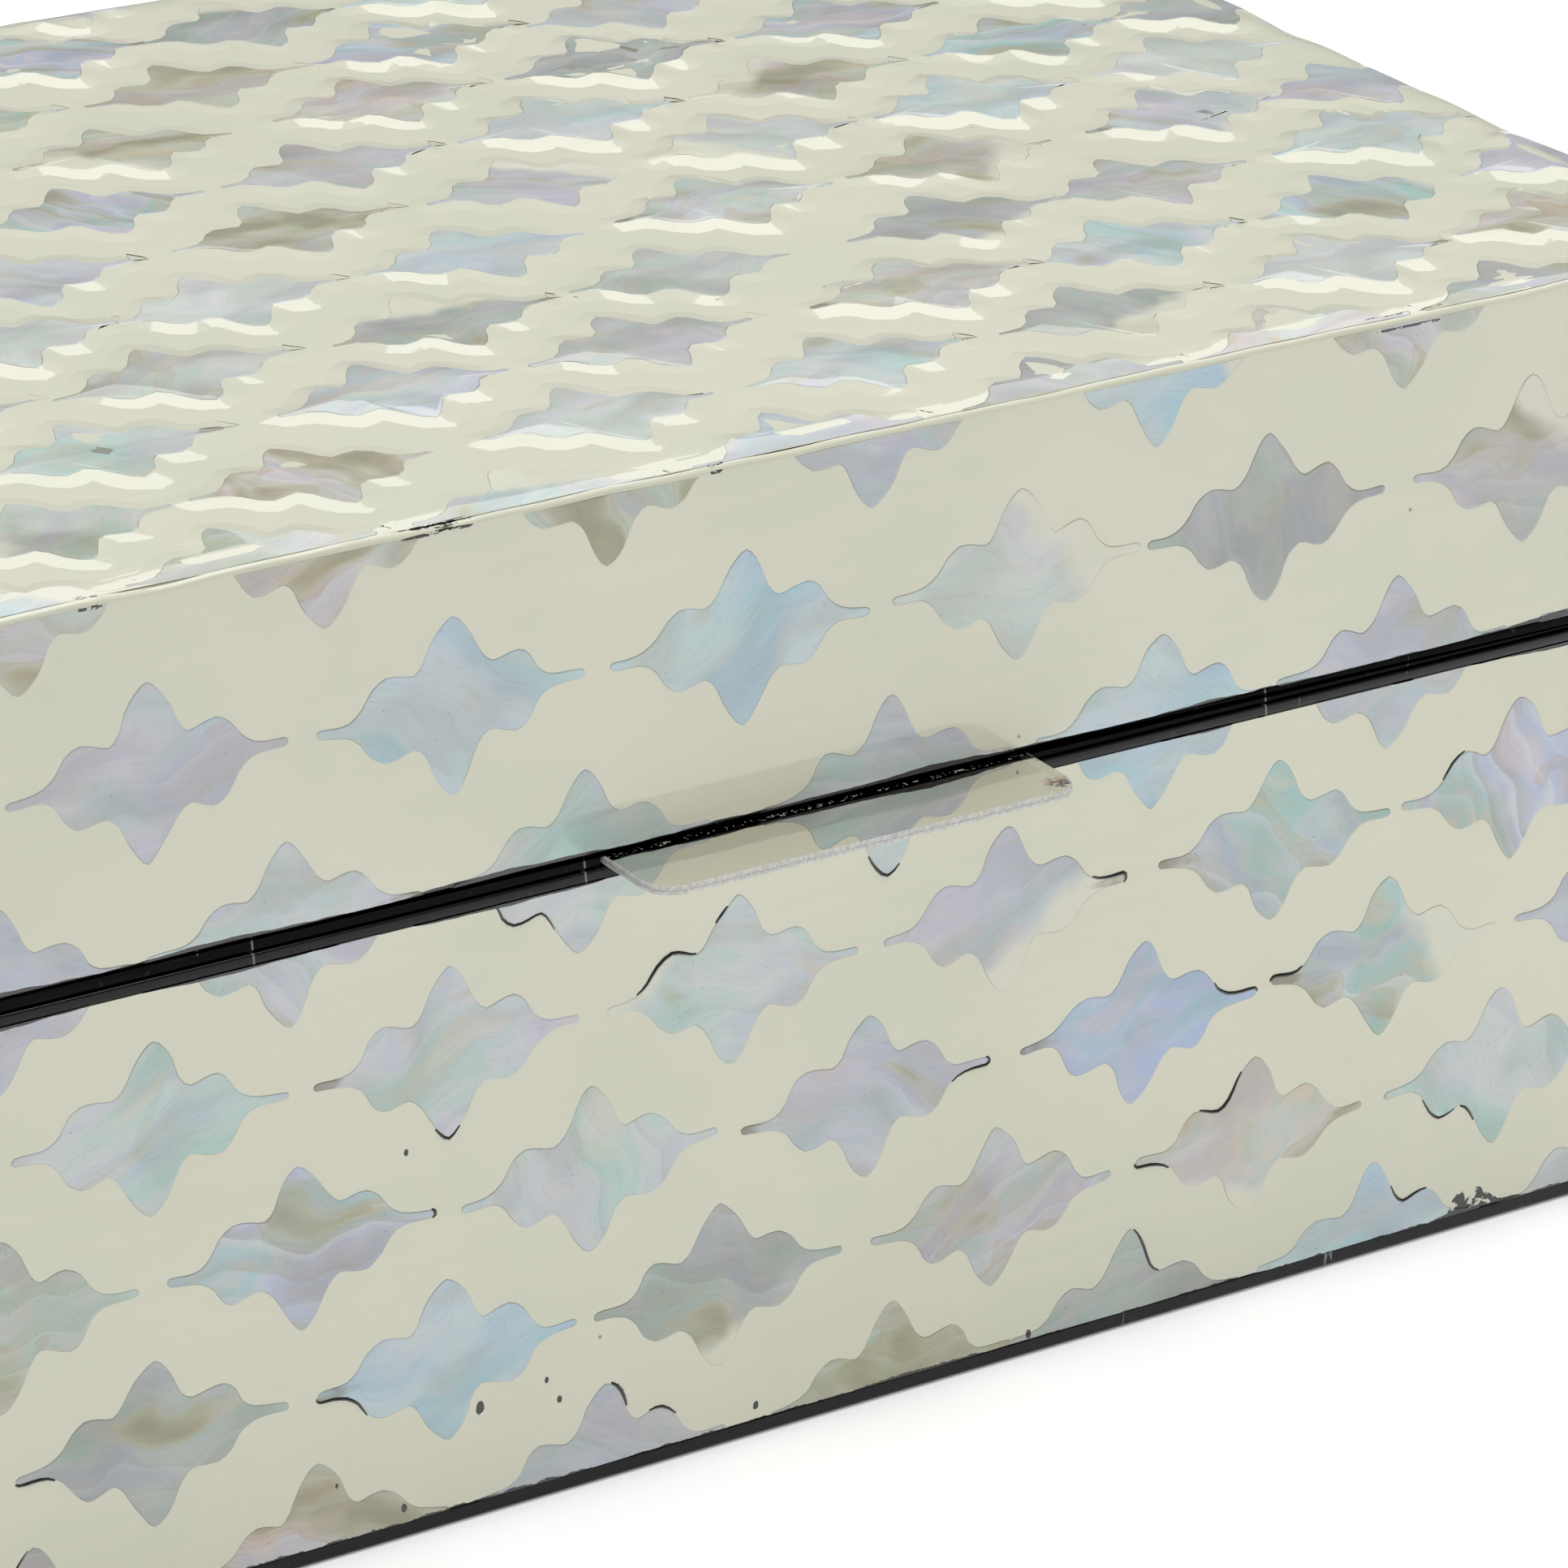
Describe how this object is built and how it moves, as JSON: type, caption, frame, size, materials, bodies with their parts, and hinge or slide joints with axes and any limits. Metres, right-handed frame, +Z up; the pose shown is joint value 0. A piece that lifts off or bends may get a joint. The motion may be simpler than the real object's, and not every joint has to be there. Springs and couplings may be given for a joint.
{
  "type": "shell box",
  "caption": "Rectangular lidded box in cream resin inlaid with mother-of-pearl shells, black painted edges, lift-off lid with a clear thumb tab.",
  "frame": {"origin": "middle of the underside, on the surface that the box stands on", "axes": "+X along the front to the right, +Y from the front into the depth, +Z up"},
  "size_m": [0.228, 0.1586, 0.1045],
  "materials": {
    "black_lacquer": "black gloss lacquer over wood board",
    "cream_resin": "polished cast resin, faintly mottled",
    "mother_of_pearl": "polished nacre under a clear coat, pale blue, lilac, grey and olive",
    "clear_acrylic": "clear polished plate with sanded edges"
  },
  "bodies": {
    "root": {"base_carcass": "black_lacquer", "lid_carcass": "black_lacquer", "base_inlay": "cream_resin", "lid_inlay": "cream_resin", "thumb_tab": "clear_acrylic", "front_shell_base_1_1": "mother_of_pearl", "front_shell_base_1_2": "mother_of_pearl", "front_shell_base_1_3": "mother_of_pearl", "front_shell_base_1_4": "mother_of_pearl", "front_shell_base_1_5": "mother_of_pearl", "front_shell_base_1_6": "mother_of_pearl", "front_shell_base_2_1": "mother_of_pearl", "front_shell_base_2_2": "mother_of_pearl", "front_shell_base_2_3": "mother_of_pearl", "front_shell_base_2_4": "mother_of_pearl", "front_shell_base_2_5": "mother_of_pearl", "front_shell_base_2_6": "mother_of_pearl", "front_shell_base_3_1": "mother_of_pearl", "front_shell_base_3_2": "mother_of_pearl", "front_shell_base_3_3": "mother_of_pearl", "front_shell_base_3_4": "mother_of_pearl", "front_shell_base_3_5": "mother_of_pearl", "front_shell_base_3_6": "mother_of_pearl", "front_shell_lid_1_1": "mother_of_pearl", "front_shell_lid_1_2": "mother_of_pearl", "front_shell_lid_1_3": "mother_of_pearl", "front_shell_lid_1_4": "mother_of_pearl", "front_shell_lid_1_5": "mother_of_pearl", "front_shell_lid_1_6": "mother_of_pearl"}
  },
  "joints": []
}
